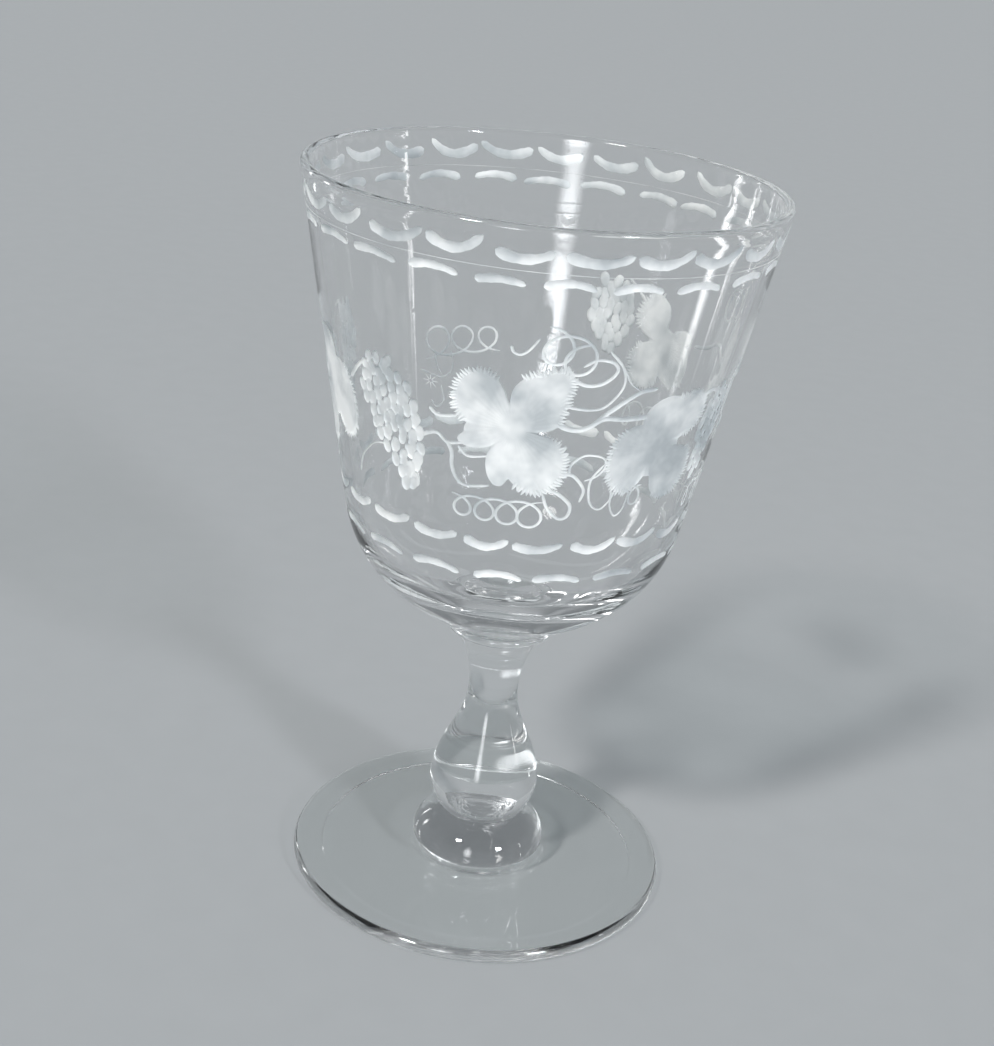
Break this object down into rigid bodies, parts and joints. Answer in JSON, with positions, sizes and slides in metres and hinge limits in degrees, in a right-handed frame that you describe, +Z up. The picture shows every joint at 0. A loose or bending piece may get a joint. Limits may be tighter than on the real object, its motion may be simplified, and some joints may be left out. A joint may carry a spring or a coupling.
{
  "type": "stemmed drinking goblet",
  "caption": "Stemmed drinking goblet of clear glass: a deep round-bottomed bowl with engraved ornament, a collar, a ball-knopped stem and a disc foot.",
  "frame": {"origin": "middle of the ring that the foot stands on, on the goblet's axis", "axes": "+Z up along the goblet's axis; it is turned about +Z, and the side with the middle vine leaf faces -Y"},
  "size_m": [0.0892, 0.0892, 0.145],
  "materials": {
    "bowl_glass": "blown colourless glass, fire-polished, with wheel-cut ornament left ground and white",
    "stem_glass": "solid hot-worked colourless glass, fire-polished",
    "foot_glass": "spun colourless glass, fire-polished, with light scuffs from use"
  },
  "bodies": {
    "root": {"bowl": "bowl_glass", "collar": "stem_glass", "stem": "stem_glass", "base_knop": "stem_glass", "foot": "foot_glass"}
  },
  "joints": []
}
